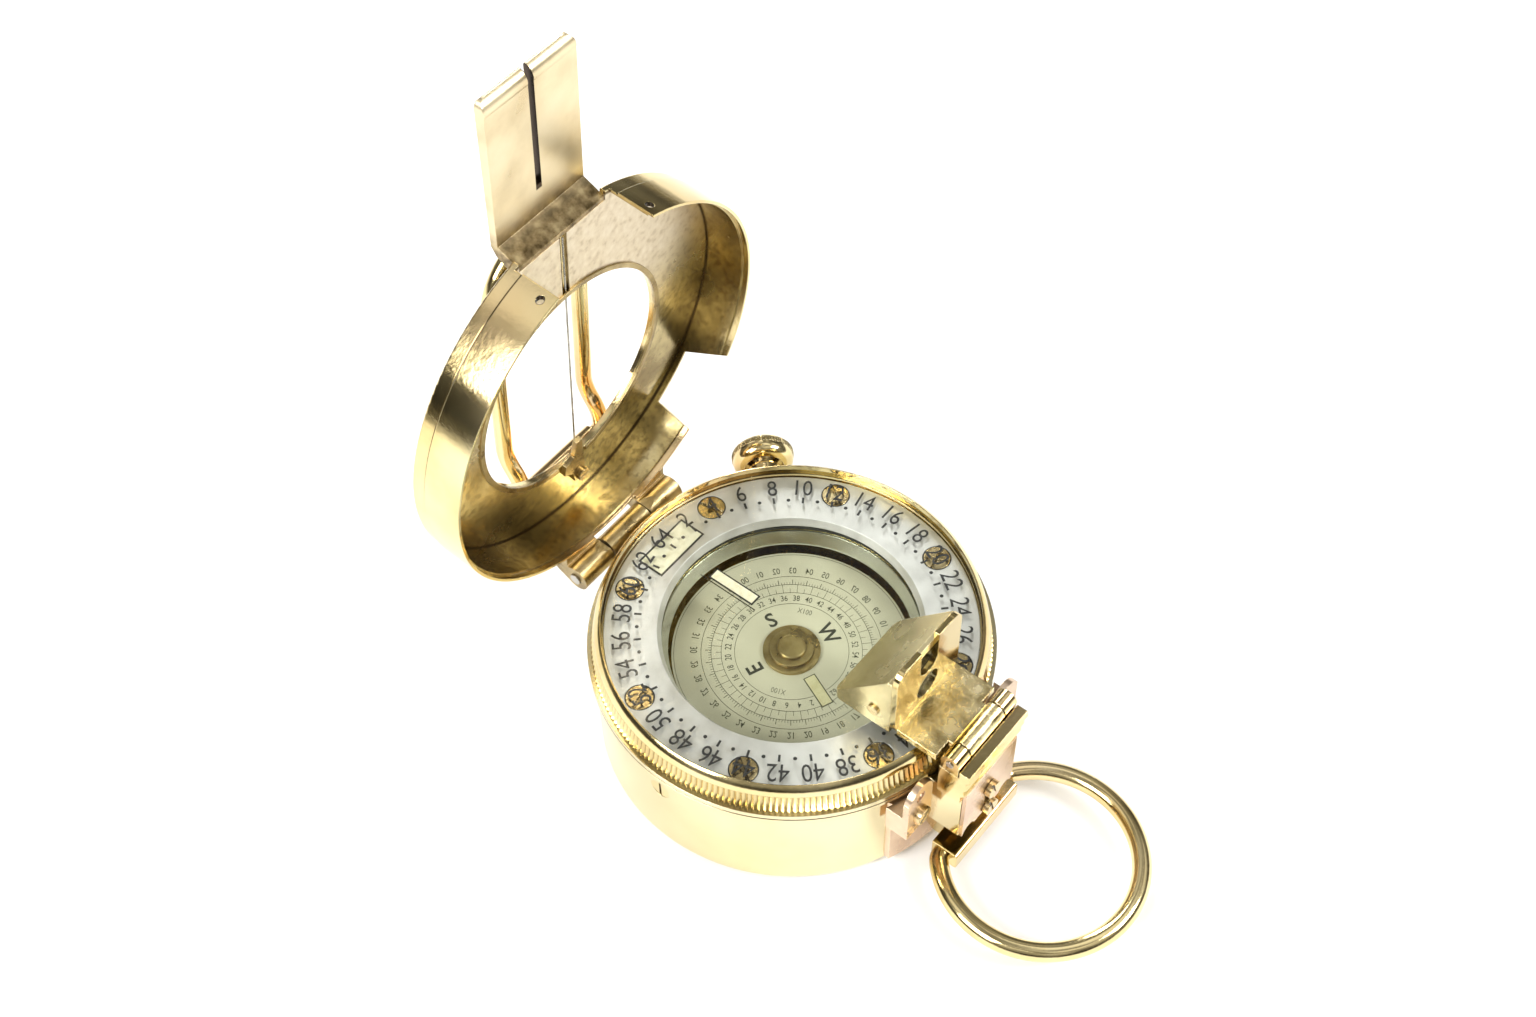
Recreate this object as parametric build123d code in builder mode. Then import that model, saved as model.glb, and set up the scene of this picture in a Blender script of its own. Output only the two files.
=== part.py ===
from build123d import *
from math import atan2, cos, degrees, radians, sin, sqrt
import os

os.makedirs("parts", exist_ok=True)

# Sighting compass, millimetres, +Z up, origin at the centre of the flat base.
# +Y runs from the dial centre to the lid hinge, -Y to the prism and the finger ring.

# case
case_r = 29.4
case_h = 18.6
case_edge = 1.5
flange_r = 30.1
flange_top = 20.4
neck_r = 28.0
seat_z = 19.7
neck_top = 22.75
cavity_r = 26.9
base_r = 27.2
base_t = 1.8
# capsule and silvered ring
bowl_r = 19.5
bowl_out_r = 20.3
bowl_floor = 8.2
seat_r = 21.5
ring_in_r = 19.7
ring_out_r = 27.5
ring_low = 21.62
ring_top = 22.82
dial_screw_r = 24.9
# rotating bezel
knurl_low_r = 29.55
knurl_high_r = 28.95
knurl_depth = 0.3
knurl_count = 220
knurl_top = 23.6
bezel_low = 20.5
bezel_top = 25.2
glass_low = 23.47
glass_top = 24.37
# card
card_r = 17.9
card_top = 16.2
card_t = 0.4
north_azimuth = 202.5
# clamp screw
clamp_azimuth = 45.0
clamp_z = 13.5
clamp_knob_r = 5.0
# lid and its hinge
hinge_y = 32.6
hinge_z = 18.8
knuckle_r = 2.15
hinge_pin_r = 0.9
lid_open = 86.3
lid_in_r = 30.4
lid_out_r = 31.15
lid_top_r = 30.9
lid_low = 20.5
lid_step = 26.7
plate_in = 28.2
plate_out = 29.2
window_r = 18.3
window_y = 2.4
wire_y = 24.6
tongue_half = 8.4
tongue_tip = -55.1
slot_half = 0.48
# bail on the lid
bail_x = 8.8
bail_r = 1.3
bail_y = 25.7
bail_z = 31.1
bail_top = 34.2
# prism carrier
prism_half = 7.0
hood_half = 7.5
saddle_r = 30.2
fold_y = -33.0
fold_z = 27.4
barrel_r = 1.55
eye_z = 30.8
eye_r = 2.4
# finger ring
bar_half = 7.7
pivot_y = -33.8
pivot_z = 3.7
ring_wire_r = 1.45
ring_shift = 0.4
ring_end_y = -60.2


def radial_plane(azimuth, height):
    # local z points outward at an angle counted from +X towards +Y
    out = (cos(radians(azimuth)), sin(radians(azimuth)), 0)
    side = (-sin(radians(azimuth)), cos(radians(azimuth)), 0)
    return Plane(origin=(0, 0, height), x_dir=side, z_dir=out)


def tooth_points(tip, root, count):
    points = []
    for i in range(count):
        a = radians(360.0 * i / count)
        b = radians(360.0 * (i + 0.5) / count)
        points.append((tip * cos(a), tip * sin(a)))
        points.append((root * cos(b), root * sin(b)))
    return points


# ---------------------------------------------------------------- case body
clamp_plane = radial_plane(clamp_azimuth, clamp_z)
plug_azimuth = 178.3
plug_z = 14.8
plug_plane = radial_plane(plug_azimuth, plug_z)

with BuildPart() as case_body:
    with BuildSketch(Plane.XY):
        Circle(case_r)
    extrude(amount=case_h)
    fillet(case_body.edges().group_by(Axis.Z)[0], radius=case_edge)
    with BuildSketch(Plane.XY.offset(case_h)):
        Circle(flange_r)
    extrude(amount=flange_top - case_h)
    with BuildSketch(Plane.XY.offset(flange_top)):
        Circle(neck_r)
    extrude(amount=neck_top - flange_top)
    with BuildSketch(Plane.XY):
        Circle(base_r)
    extrude(amount=base_t, mode=Mode.SUBTRACT)
    with BuildSketch(Plane.XY.offset(base_t)):
        Circle(cavity_r)
    extrude(amount=18.6 - base_t, mode=Mode.SUBTRACT)
    with BuildSketch(Plane.XY.offset(18.6)):
        Circle(20.5)
    extrude(amount=1.1, mode=Mode.SUBTRACT)
    with BuildSketch(Plane.XY.offset(seat_z)):
        Circle(seat_r)
    extrude(amount=ring_low - seat_z, mode=Mode.SUBTRACT)
    with BuildSketch(Plane.XY.offset(ring_low)):
        Circle(ring_out_r + 0.04)
    extrude(amount=2.0, mode=Mode.SUBTRACT)
    # fine turned line round the flange
    with BuildSketch(Plane.XY.offset(19.3)):
        Circle(flange_r + 1.0)
        Circle(flange_r - 0.16, mode=Mode.SUBTRACT)
    extrude(amount=0.24, mode=Mode.SUBTRACT)
    # groove for the spring ring that keeps the bezel on
    with BuildSketch(Plane.XY.offset(20.75)):
        Circle(neck_r + 0.4)
        Circle(27.5, mode=Mode.SUBTRACT)
    extrude(amount=0.5, mode=Mode.SUBTRACT)
    with BuildSketch(Plane.XY.offset(ring_low)):
        with PolarLocations(dial_screw_r, 8, start_angle=22.5):
            Circle(0.8)
    extrude(amount=-1.8, mode=Mode.SUBTRACT)
    with BuildSketch(clamp_plane.offset(24.0)):
        Circle(2.8)
    extrude(amount=8.0, mode=Mode.SUBTRACT)
    with BuildSketch(plug_plane.offset(24.0)):
        Circle(1.7)
    extrude(amount=8.0, mode=Mode.SUBTRACT)
case_body.part.label = "case_body"
export_step(case_body.part, "parts/case_body.step")

# base plate with two spanner holes
with BuildPart() as case_base:
    with BuildSketch(Plane.XY):
        Circle(base_r)
    extrude(amount=base_t)
    with BuildSketch(Plane.XY):
        with Locations((-20, 0), (20, 0)):
            Circle(1.0)
    extrude(amount=1.0, mode=Mode.SUBTRACT)
case_base.part.label = "case_base"
export_step(case_base.part, "parts/case_base.step")

# slotted plug in the case wall
with BuildPart() as filler_plug:
    with BuildSketch(plug_plane.offset(26.6)):
        Circle(1.7)
    extrude(amount=2.75)
    with BuildSketch(plug_plane.offset(29.0)):
        Rectangle(0.4, 4.0)
    extrude(amount=1.0, mode=Mode.SUBTRACT)
filler_plug.part.label = "filler_plug"
export_step(filler_plug.part, "parts/filler_plug.step")

# ------------------------------------------------------------ liquid capsule
with BuildPart() as capsule_bowl:
    with BuildSketch(Plane.XY.offset(7.0)):
        Circle(bowl_out_r)
    extrude(amount=12.7)
    with BuildSketch(Plane.XY.offset(19.7)):
        Circle(21.45)
    extrude(amount=0.5)
    with BuildSketch(Plane.XY.offset(bowl_floor)):
        Circle(bowl_r)
    extrude(amount=13.0, mode=Mode.SUBTRACT)
    fillet(capsule_bowl.edges().group_by(Axis.Z)[0], radius=1.0)
capsule_bowl.part.label = "capsule_bowl"
export_step(capsule_bowl.part, "parts/capsule_bowl.step")

with BuildPart() as capsule_gasket:
    with BuildSketch(Plane.XY.offset(20.2)):
        Circle(21.4)
        Circle(19.6, mode=Mode.SUBTRACT)
    extrude(amount=0.5)
capsule_gasket.part.label = "capsule_gasket"
export_step(capsule_gasket.part, "parts/capsule_gasket.step")

# bright bevelled ring round the card, just under the glass
with BuildPart() as capsule_inner_ring:
    with BuildSketch(Plane.XZ):
        with BuildLine():
            Polyline((19.45, 17.9), (19.45, 20.15), (19.2, 20.15), (18.3, 18.2), (18.3, 17.9),
                     close=True)
        make_face()
    revolve(axis=Axis.Z)
capsule_inner_ring.part.label = "capsule_inner_ring"
export_step(capsule_inner_ring.part, "parts/capsule_inner_ring.step")

with BuildPart() as capsule_glass:
    with BuildSketch(Plane.XY.offset(20.7)):
        Circle(21.4)
    extrude(amount=0.9)
capsule_glass.part.label = "capsule_glass"
export_step(capsule_glass.part, "parts/capsule_glass.step")

# corrugated plate that lets the liquid expand
with BuildPart() as expansion_diaphragm:
    with BuildSketch(Plane.XY.offset(6.0)):
        Circle(17.0)
    extrude(amount=0.4)
    with BuildSketch(Plane.XY.offset(6.4)):
        Circle(17.0)
        Circle(16.0, mode=Mode.SUBTRACT)
    extrude(amount=0.6)
    for r in (5.0, 8.5, 12.0):
        with BuildSketch(Plane.XY.offset(5.6)):
            Circle(r + 1.2)
            Circle(r, mode=Mode.SUBTRACT)
        extrude(amount=0.4)
expansion_diaphragm.part.label = "expansion_diaphragm"
export_step(expansion_diaphragm.part, "parts/expansion_diaphragm.step")

# post with a conical needle point under the card's jewel
with BuildPart() as pivot_post:
    with BuildSketch(Plane.XY.offset(bowl_floor)):
        Circle(3.0)
    extrude(amount=0.8)
    with BuildSketch(Plane.XY.offset(9.0)):
        Circle(0.9)
    extrude(amount=4.5)
    with BuildSketch(Plane.XZ):
        with BuildLine():
            Polyline((0, 13.5), (0.5, 13.5), (0.06, 16.4), (0, 16.4), close=True)
        make_face()
    revolve(axis=Axis.Z)
pivot_post.part.label = "pivot_post"
export_step(pivot_post.part, "parts/pivot_post.step")

# ------------------------------------------------------------- silvered ring
with BuildPart() as silvered_ring:
    with BuildSketch(Plane.XZ):
        with BuildLine():
            Polyline((19.1, ring_low), (ring_out_r, ring_low), (ring_out_r, ring_top),
                     (ring_in_r, ring_top), close=True)
        make_face()
    revolve(axis=Axis.Z)
    with BuildSketch(Plane.XY.offset(22.12)):
        with PolarLocations(dial_screw_r, 8, start_angle=22.5):
            Circle(2.2)
    extrude(amount=1.0, mode=Mode.SUBTRACT)
    with BuildSketch(Plane.XY.offset(ring_low)):
        with PolarLocations(dial_screw_r, 8, start_angle=22.5):
            Circle(0.85)
    extrude(amount=1.0, mode=Mode.SUBTRACT)
silvered_ring.part.label = "silvered_ring"
export_step(silvered_ring.part, "parts/silvered_ring.step")

with BuildPart() as ring_screws:
    with BuildSketch(Plane.XY.offset(20.0)):
        with PolarLocations(dial_screw_r, 8, start_angle=22.5):
            Circle(0.8)
    extrude(amount=2.12)
    with BuildSketch(Plane.XY.offset(22.12)):
        with PolarLocations(dial_screw_r, 8, start_angle=22.5):
            Circle(2.0)
    extrude(amount=0.7)
    with BuildSketch(Plane.XY.offset(22.5)):
        with PolarLocations(dial_screw_r, 8, start_angle=22.5):
            Rectangle(4.2, 0.5, rotation=35)
    extrude(amount=0.5, mode=Mode.SUBTRACT)
ring_screws.part.label = "ring_screws"
export_step(ring_screws.part, "parts/ring_screws.step")

with BuildPart() as luminous_patch:
    with BuildSketch(Plane.XY.offset(ring_top)):
        with Locations((0, 22.95)):
            Rectangle(9.3, 3.9)
    extrude(amount=0.08)
luminous_patch.part.label = "luminous_patch"
export_step(luminous_patch.part, "parts/luminous_patch.step")

# ------------------------------------------------------------ rotating bezel
with BuildPart() as bezel_ring:
    with BuildSketch(Plane.XZ):
        with BuildLine():
            Polyline((28.05, bezel_low), (28.4, bezel_low), (28.4, knurl_top), (28.95, knurl_top))
            ThreePointArc((28.95, knurl_top), (28.6, 24.5), (27.95, bezel_top))
            Polyline(
                (27.95, bezel_top), (27.8, bezel_top), (27.8, glass_top), (28.15, glass_top),
                (28.15, 23.0), (28.05, 23.0), (28.05, 21.3), (28.2, 21.3), (28.2, 20.7),
                (28.05, 20.7), (28.05, bezel_low))
        make_face()
    revolve(axis=Axis.Z)
bezel_ring.part.label = "bezel_ring"
export_step(bezel_ring.part, "parts/bezel_ring.step")

# the knurled band narrows towards the top
with BuildPart() as bezel_knurl:
    with BuildSketch(Plane.XY.offset(bezel_low)):
        with BuildLine():
            Polyline(*tooth_points(knurl_low_r, knurl_low_r - knurl_depth, knurl_count), close=True)
        make_face()
    with BuildSketch(Plane.XY.offset(knurl_top)):
        with BuildLine():
            Polyline(*tooth_points(knurl_high_r, knurl_high_r - knurl_depth, knurl_count), close=True)
        make_face()
    loft(ruled=True)
    with BuildSketch(Plane.XY.offset(bezel_low)):
        Circle(28.4)
    extrude(amount=knurl_top - bezel_low, mode=Mode.SUBTRACT)
bezel_knurl.part.label = "bezel_knurl"
export_step(bezel_knurl.part, "parts/bezel_knurl.step")

with BuildPart() as bezel_glass:
    with BuildSketch(Plane.XY.offset(glass_low)):
        Circle(28.1)
    extrude(amount=glass_top - glass_low)
bezel_glass.part.label = "bezel_glass"
export_step(bezel_glass.part, "parts/bezel_glass.step")

with BuildPart() as glass_retainer:
    with BuildSketch(Plane.XY.offset(23.07)):
        Circle(28.15)
        Circle(27.65, mode=Mode.SUBTRACT)
    extrude(amount=glass_low - 23.07)
glass_retainer.part.label = "glass_retainer"
export_step(glass_retainer.part, "parts/glass_retainer.step")

with BuildPart() as bezel_spring_ring:
    with BuildSketch(Plane.XY.offset(20.8)):
        Circle(28.2)
        Circle(27.55, mode=Mode.SUBTRACT)
        with Locations((28, 0)):
            Rectangle(3, 2, mode=Mode.SUBTRACT)
    extrude(amount=0.4)
bezel_spring_ring.part.label = "bezel_spring_ring"
export_step(bezel_spring_ring.part, "parts/bezel_spring_ring.step")

with BuildPart() as bezel_luminous_strip:
    with BuildSketch(Plane.XY.offset(glass_low - 0.1)):
        with Locations((0, 10.75)):
            Rectangle(1.5, 7.7)
    extrude(amount=0.1)
bezel_luminous_strip.part.label = "bezel_luminous_strip"
export_step(bezel_luminous_strip.part, "parts/bezel_luminous_strip.step")

# -------------------------------------------------------------- compass card
card_plane = Plane(
    origin=(0, 0, 0),
    x_dir=(cos(radians(-north_azimuth)), sin(radians(-north_azimuth)), 0),
    z_dir=(0, 0, 1))

with BuildPart() as compass_card:
    with BuildSketch(Plane.XY.offset(card_top - card_t)):
        Circle(card_r)
        Circle(1.6, mode=Mode.SUBTRACT)
    extrude(amount=card_t)
compass_card.part.label = "compass_card"
export_step(compass_card.part, "parts/compass_card.step")

with BuildPart() as card_hub:
    with BuildSketch(Plane.XY.offset(15.2)):
        Circle(1.6)
    extrude(amount=1.0)
    with BuildSketch(Plane.XY.offset(card_top)):
        Circle(4.3)
    extrude(amount=0.5)
    with BuildSketch(Plane.XY.offset(card_top + 0.5)):
        Circle(3.3)
    extrude(amount=0.4)
    with BuildSketch(Plane.XY.offset(card_top + 0.9)):
        Circle(2.2)
    extrude(amount=0.5)
    fillet(card_hub.edges().group_by(Axis.Z)[-1], radius=0.35)
    with BuildSketch(Plane.XY.offset(15.2)):
        Circle(1.0)
    extrude(amount=1.7, mode=Mode.SUBTRACT)
card_hub.part.label = "card_hub"
export_step(card_hub.part, "parts/card_hub.step")

with BuildPart() as jewel_bearing:
    with BuildSketch(Plane.XZ):
        with BuildLine():
            Polyline((1.0, 15.3), (1.0, 16.9), (0, 16.9), (0, 16.5), (0.15, 16.5), (0.75, 15.3),
                     close=True)
        make_face()
    revolve(axis=Axis.Z)
jewel_bearing.part.label = "jewel_bearing"
export_step(jewel_bearing.part, "parts/jewel_bearing.step")

with BuildPart() as bar_magnets:
    with BuildSketch(card_plane.offset(card_top - card_t - 1.8)):
        with Locations((-3.6, 0), (3.6, 0)):
            Rectangle(2.0, 22.0)
    extrude(amount=1.8)
bar_magnets.part.label = "bar_magnets"
export_step(bar_magnets.part, "parts/bar_magnets.step")

with BuildPart() as card_pointer:
    with BuildSketch(card_plane.offset(card_top)):
        with Locations((0, 7.95)):
            Rectangle(1.6, 5.3)
    extrude(amount=0.1)
card_pointer.part.label = "card_pointer"
export_step(card_pointer.part, "parts/card_pointer.step")

# --------------------------------------------------------------- clamp screw
with BuildPart() as clamp_boss:
    with BuildSketch(clamp_plane.offset(26.6)):
        Circle(2.8)
    extrude(amount=9.6)
    with BuildSketch(clamp_plane.offset(29.6)):
        Circle(3.7)
    extrude(amount=1.1)
    with BuildSketch(clamp_plane.offset(26.0)):
        Circle(1.56)
    extrude(amount=11.0, mode=Mode.SUBTRACT)
clamp_boss.part.label = "clamp_boss"
export_step(clamp_boss.part, "parts/clamp_boss.step")

with BuildPart() as clamp_shank:
    with BuildSketch(clamp_plane.offset(25.4)):
        Circle(1.5)
    extrude(amount=12.8)
clamp_shank.part.label = "clamp_shank"
export_step(clamp_shank.part, "parts/clamp_shank.step")

with BuildPart() as clamp_pad:
    with BuildSketch(clamp_plane.offset(24.6)):
        Circle(2.2)
    extrude(amount=0.8)
clamp_pad.part.label = "clamp_pad"
export_step(clamp_pad.part, "parts/clamp_pad.step")

# mushroom-shaped knob: smooth round back, fine knurl only near the front rim
clamp_section = Plane(
    origin=(0, 0, clamp_z),
    x_dir=(-sin(radians(clamp_azimuth)), cos(radians(clamp_azimuth)), 0),
    z_dir=(0, 0, -1))
clamp_axis = Axis((0, 0, clamp_z), (cos(radians(clamp_azimuth)), sin(radians(clamp_azimuth)), 0))
with BuildPart() as clamp_knob:
    with BuildSketch(clamp_section):
        with BuildLine():
            Polyline((0, 40.2), (0, 38.2), (1.5, 38.2), (1.5, 37.5), (3.2, 37.5), (3.2, 36.7))
            ThreePointArc((3.2, 36.7), (4.4, 37.2), (4.85, 38.4))
            Line((4.85, 38.4), (4.85, 39.5))
            ThreePointArc((4.85, 39.5), (4.64, 40.0), (4.15, 40.2))
            Line((4.15, 40.2), (0, 40.2))
        make_face()
    revolve(axis=clamp_axis)
    with BuildSketch(clamp_plane.offset(38.75)):
        with BuildLine():
            Polyline(*tooth_points(clamp_knob_r, clamp_knob_r - 0.2, 72), close=True)
        make_face()
    extrude(amount=0.9)
clamp_knob.part.label = "clamp_knob"
export_step(clamp_knob.part, "parts/clamp_knob.step")

# ----------------------------------------------------------- lid hinge, case
with BuildPart() as case_knuckle:
    with BuildSketch(Plane.YZ):
        with Locations((hinge_y, hinge_z)):
            Circle(knuckle_r)
        with BuildLine():
            Polyline((28.6, 16.65), (hinge_y, 16.65), (hinge_y, 18.5), (28.6, 18.5), close=True)
        make_face()
    extrude(amount=4.3, both=True)
    with BuildSketch(Plane.YZ):
        with Locations((hinge_y, hinge_z)):
            Circle(hinge_pin_r)
    extrude(amount=5.0, both=True, mode=Mode.SUBTRACT)
    with BuildSketch(Plane.XY.offset(10)):
        Circle(case_r)
    extrude(amount=12, mode=Mode.SUBTRACT)
case_knuckle.part.label = "case_knuckle"
export_step(case_knuckle.part, "parts/case_knuckle.step")

with BuildPart() as hinge_pin:
    with BuildSketch(Plane.YZ):
        with Locations((hinge_y, hinge_z)):
            Circle(hinge_pin_r)
    extrude(amount=11.5, both=True)
hinge_pin.part.label = "hinge_pin"
export_step(hinge_pin.part, "parts/hinge_pin.step")

# ----------------------------------------------------------------- the lid
# The lid is drawn as if shut, on planes turned about the hinge to the open pose.
turn = radians(-lid_open)
lid_frame = Plane(
    origin=(
        0,
        hinge_y - hinge_y * cos(turn) + hinge_z * sin(turn),
        hinge_z - hinge_y * sin(turn) - hinge_z * cos(turn)),
    x_dir=(1, 0, 0),
    z_dir=(0, -sin(turn), cos(turn)))
lid_side = Plane(origin=lid_frame.origin, x_dir=lid_frame.y_dir, z_dir=(1, 0, 0))

notch_azimuth = radians(44.0)
notch_plane = Plane(
    origin=lid_frame.origin,
    x_dir=lid_frame.y_dir * cos(notch_azimuth) - lid_frame.x_dir * sin(notch_azimuth),
    z_dir=lid_frame.x_dir * cos(notch_azimuth) + lid_frame.y_dir * sin(notch_azimuth))

with BuildPart() as lid_shell:
    with BuildSketch(lid_frame.offset(lid_low)):
        Circle(lid_out_r)
    extrude(amount=lid_step - lid_low)
    with BuildSketch(lid_frame.offset(lid_step)):
        Circle(lid_top_r - 0.15)
    extrude(amount=0.25)
    with BuildSketch(lid_frame.offset(lid_step + 0.25)):
        Circle(lid_top_r)
    extrude(amount=plate_out - lid_step - 0.25)
    fillet(lid_shell.edges().sort_by(Axis(lid_frame.origin, lid_frame.z_dir))[-1], radius=0.35)
    with BuildSketch(lid_frame.offset(lid_low)):
        Circle(lid_in_r)
    extrude(amount=plate_in - lid_low, mode=Mode.SUBTRACT)
    with BuildSketch(lid_frame.offset(plate_in - 0.5)):
        with Locations((0, window_y)):
            Circle(window_r)
    extrude(amount=3.0, mode=Mode.SUBTRACT)
    # gap in the skirt over the prism carrier, and the plate end under the tongue
    with BuildSketch(lid_frame.offset(lid_low)):
        with Locations((0, -30)):
            Rectangle(18.6, 8)
    extrude(amount=plate_in - lid_low, mode=Mode.SUBTRACT)
    with BuildSketch(lid_frame.offset(lid_low)):
        with Locations((0, -31.0)):
            Rectangle(2 * tongue_half + 0.1, 6)
    extrude(amount=12, mode=Mode.SUBTRACT)
    # notch for the case knuckle
    with BuildSketch(lid_frame.offset(lid_low)):
        with Locations((0, 31)):
            Rectangle(9.8, 4)
    extrude(amount=0.5, mode=Mode.SUBTRACT)
    # fine step inside the mouth
    with BuildSketch(lid_frame.offset(lid_low)):
        Circle(lid_in_r + 0.3)
    extrude(amount=1.0, mode=Mode.SUBTRACT)
    # notch over the clamp screw, wider at the mouth
    with BuildSketch(notch_plane.offset(24.0)):
        with BuildLine():
            Polyline((-7.2, lid_low - 1.0), (-3.6, 27.2), (5.35, 27.2), (6.5, lid_low - 1.0),
                     close=True)
        make_face()
    extrude(amount=10.0, mode=Mode.SUBTRACT)
    # groove that leads the sighting wire
    with BuildSketch(lid_frame.offset(plate_in)):
        with Locations((0, -21.95)):
            Rectangle(1.4, 12.1)
    extrude(amount=0.45, mode=Mode.SUBTRACT)
    with BuildSketch(lid_frame.offset(plate_in)):
        with Locations((0, wire_y)):
            Circle(0.6)
    extrude(amount=0.7, mode=Mode.SUBTRACT)
    # two small holes in the skirt beside the gap
    with BuildSketch(Plane(origin=lid_frame.from_local_coords((0, 0, lid_low + 1.9)),
                           x_dir=(1, 0, 0), z_dir=-lid_frame.y_dir).offset(26.0)):
        with Locations((-10.8, 0), (10.8, 0)):
            Circle(0.6)
    extrude(amount=6.0, mode=Mode.SUBTRACT)
lid_shell.part.label = "lid_shell"
export_step(lid_shell.part, "parts/lid_shell.step")

with BuildPart() as window_rim:
    with BuildSketch(lid_frame.offset(plate_in)):
        with Locations((0, window_y)):
            Circle(window_r + 0.8)
            Circle(window_r, mode=Mode.SUBTRACT)
        with Locations((-1.1, 21.0)):
            Rectangle(6.0, 5.0, mode=Mode.SUBTRACT)
    extrude(amount=-0.3)
window_rim.part.label = "window_rim"
export_step(window_rim.part, "parts/window_rim.step")

# sighting tongue: a cranked plate with an open slot
with BuildPart() as sight_tongue:
    with BuildSketch(lid_side):
        with BuildLine():
            Polyline(
                (-24.6, plate_out), (-28.0, plate_out), (-28.0, 28.3), (-28.7, 28.3),
                (-30.1, 31.9), (-53.0, 32.1))
            ThreePointArc((-53.0, 32.1), (-54.5, 32.4), (tongue_tip, 33.2))
            ThreePointArc((tongue_tip, 33.2), (tongue_tip + 0.05, 33.55), (tongue_tip + 0.4, 33.7))
            Polyline((tongue_tip + 0.4, 33.7), (-29.6, 33.1), (-28.2, 32.2), (-27.0, 30.15),
                     (-24.6, 30.15), (-24.6, plate_out))
        make_face()
    extrude(amount=tongue_half, both=True)
    # rounded corners at the tip
    with BuildSketch(lid_frame.offset(plate_in - 1.0)):
        with Locations((0, tongue_tip + 19.0)):
            RectangleRounded(2 * tongue_half, 38.0, 1.2)
    extrude(amount=8.0, mode=Mode.INTERSECT)
    with BuildSketch(lid_frame.offset(plate_out + 1.5)):
        with Locations((0, -45.8)):
            Rectangle(2 * slot_half, 21.0)
    extrude(amount=6.0, mode=Mode.SUBTRACT)
sight_tongue.part.label = "sight_tongue"
export_step(sight_tongue.part, "parts/sight_tongue.step")

# two hinge knuckles whose leaves rise against the outside of the skirt
with BuildPart() as lid_knuckles:
    for side in (-1, 1):
        with BuildSketch(lid_side.offset(side * 7.9)):
            with Locations((hinge_y, hinge_z)):
                Circle(knuckle_r)
            with BuildLine():
                Polyline((30.9, hinge_z), (30.9, lid_low), (28.4, lid_low), (28.4, 23.0),
                         (32.6, 23.0), (33.3, 22.3), (34.2, 20.2), (hinge_y, hinge_z), close=True)
            make_face()
        extrude(amount=3.3, both=True)
    with BuildSketch(lid_side):
        with Locations((hinge_y, hinge_z)):
            Circle(hinge_pin_r + 0.07)
    extrude(amount=12.0, both=True, mode=Mode.SUBTRACT)
    with BuildSketch(lid_frame.offset(lid_low - 4)):
        Circle(lid_out_r)
    extrude(amount=12, mode=Mode.SUBTRACT)
lid_knuckles.part.label = "lid_knuckles"
export_step(lid_knuckles.part, "parts/lid_knuckles.step")

with BuildPart() as sighting_wire:
    with BuildSketch(Plane(origin=lid_frame.from_local_coords((0, 17.4, plate_in + 0.15)),
                           x_dir=(1, 0, 0), z_dir=-lid_frame.y_dir)):
        Circle(0.15)
    extrude(amount=45.0)
sighting_wire.part.label = "sighting_wire"
export_step(sighting_wire.part, "parts/sighting_wire.step")

# small bent bracket that holds the end of the wire
with BuildPart() as wire_anchor:
    with BuildSketch(lid_frame.offset(plate_in)):
        with BuildLine():
            Polyline(
                (-0.5, 16.8), (0.7, 16.8), (0.9, 21.5), (1.3, 25.7), (-1.3, 25.7), (-1.6, 23.4),
                (-3.4, 22.2), (-3.0, 20.4), (-1.2, 19.8), close=True)
        make_face()
        with Locations((0, wire_y)):
            Circle(0.6, mode=Mode.SUBTRACT)
    extrude(amount=-0.8)
wire_anchor.part.label = "wire_anchor"
export_step(wire_anchor.part, "parts/wire_anchor.step")

with BuildPart() as wire_screw:
    with BuildSketch(lid_frame.offset(plate_in + 0.6)):
        with Locations((0, wire_y)):
            Circle(0.6)
    extrude(amount=-1.4)
    with BuildSketch(lid_frame.offset(plate_in - 0.8)):
        with Locations((0, wire_y)):
            Circle(1.1)
    extrude(amount=-0.8)
    with BuildSketch(lid_frame.offset(plate_in - 1.6)):
        with Locations((0, wire_y)):
            Rectangle(3.0, 0.35)
    extrude(amount=0.3, mode=Mode.SUBTRACT)
wire_screw.part.label = "wire_screw"
export_step(wire_screw.part, "parts/wire_screw.step")

# ------------------------------------------------------------ bail on the lid
with BuildPart() as bail_tube:
    with BuildSketch(lid_side):
        with Locations((bail_y, bail_z)):
            Circle(1.85)
        with BuildLine():
            Polyline((24.5, plate_out), (26.9, plate_out), (26.9, bail_z), (24.5, bail_z), close=True)
        make_face()
    extrude(amount=7.0, both=True)
    with BuildSketch(lid_side):
        with Locations((bail_y, bail_z)):
            Circle(1.07)
    extrude(amount=8.0, both=True, mode=Mode.SUBTRACT)
bail_tube.part.label = "bail_tube"
export_step(bail_tube.part, "parts/bail_tube.step")

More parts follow.
